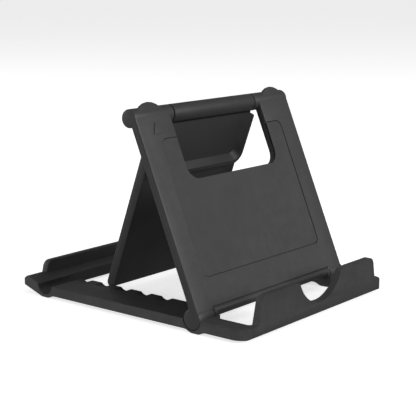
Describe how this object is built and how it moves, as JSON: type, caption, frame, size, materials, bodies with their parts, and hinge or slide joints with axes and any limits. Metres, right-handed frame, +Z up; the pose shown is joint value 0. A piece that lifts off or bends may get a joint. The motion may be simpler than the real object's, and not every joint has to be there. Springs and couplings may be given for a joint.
{
  "type": "folding phone stand",
  "caption": "Pocket phone stand that folds flat: base frame with a lipped seat and rail notches, hinged backrest with a window, and a hinged prop leg.",
  "frame": {"origin": "bottom centre of the opened stand's bounding box, on the table under the middle of the base", "axes": "+X across the stand to its right, +Y from the front lip to the rear, +Z up"},
  "size_m": [0.077, 0.0922, 0.0657],
  "materials": {
    "charcoal_abs_base": "fine moulded texture",
    "charcoal_abs": "fine moulded texture",
    "charcoal_abs_leg": "fine moulded texture",
    "soft_pad": "matt",
    "pin_steel": "drawn wire"
  },
  "bodies": {
    "base": {"base_frame": "charcoal_abs_base", "lower_pin_left": "pin_steel", "lower_pin_right": "pin_steel"},
    "backrest": {"backrest": "charcoal_abs", "back_pad": "soft_pad", "upper_pin_left": "pin_steel", "upper_pin_right": "pin_steel"},
    "prop": {"prop_leg": "charcoal_abs_leg"}
  },
  "joints": [
    {"name": "backrest_fold", "type": "hinge", "parent": "base", "child": "backrest", "pos_m": [0, -0.02645, 0.00405], "axis": [-1, 0, 0], "range_deg": [0, 67.2]},
    {"name": "prop_fold", "type": "hinge", "parent": "backrest", "child": "prop", "pos_m": [0, -0.00242, 0.06121], "axis": [-1, 0, 0], "range_deg": [0, 42.8]}
  ],
  "couplings": [
    {"joint": "prop_fold", "follows": "backrest_fold", "ratio": 0.63691}
  ]
}
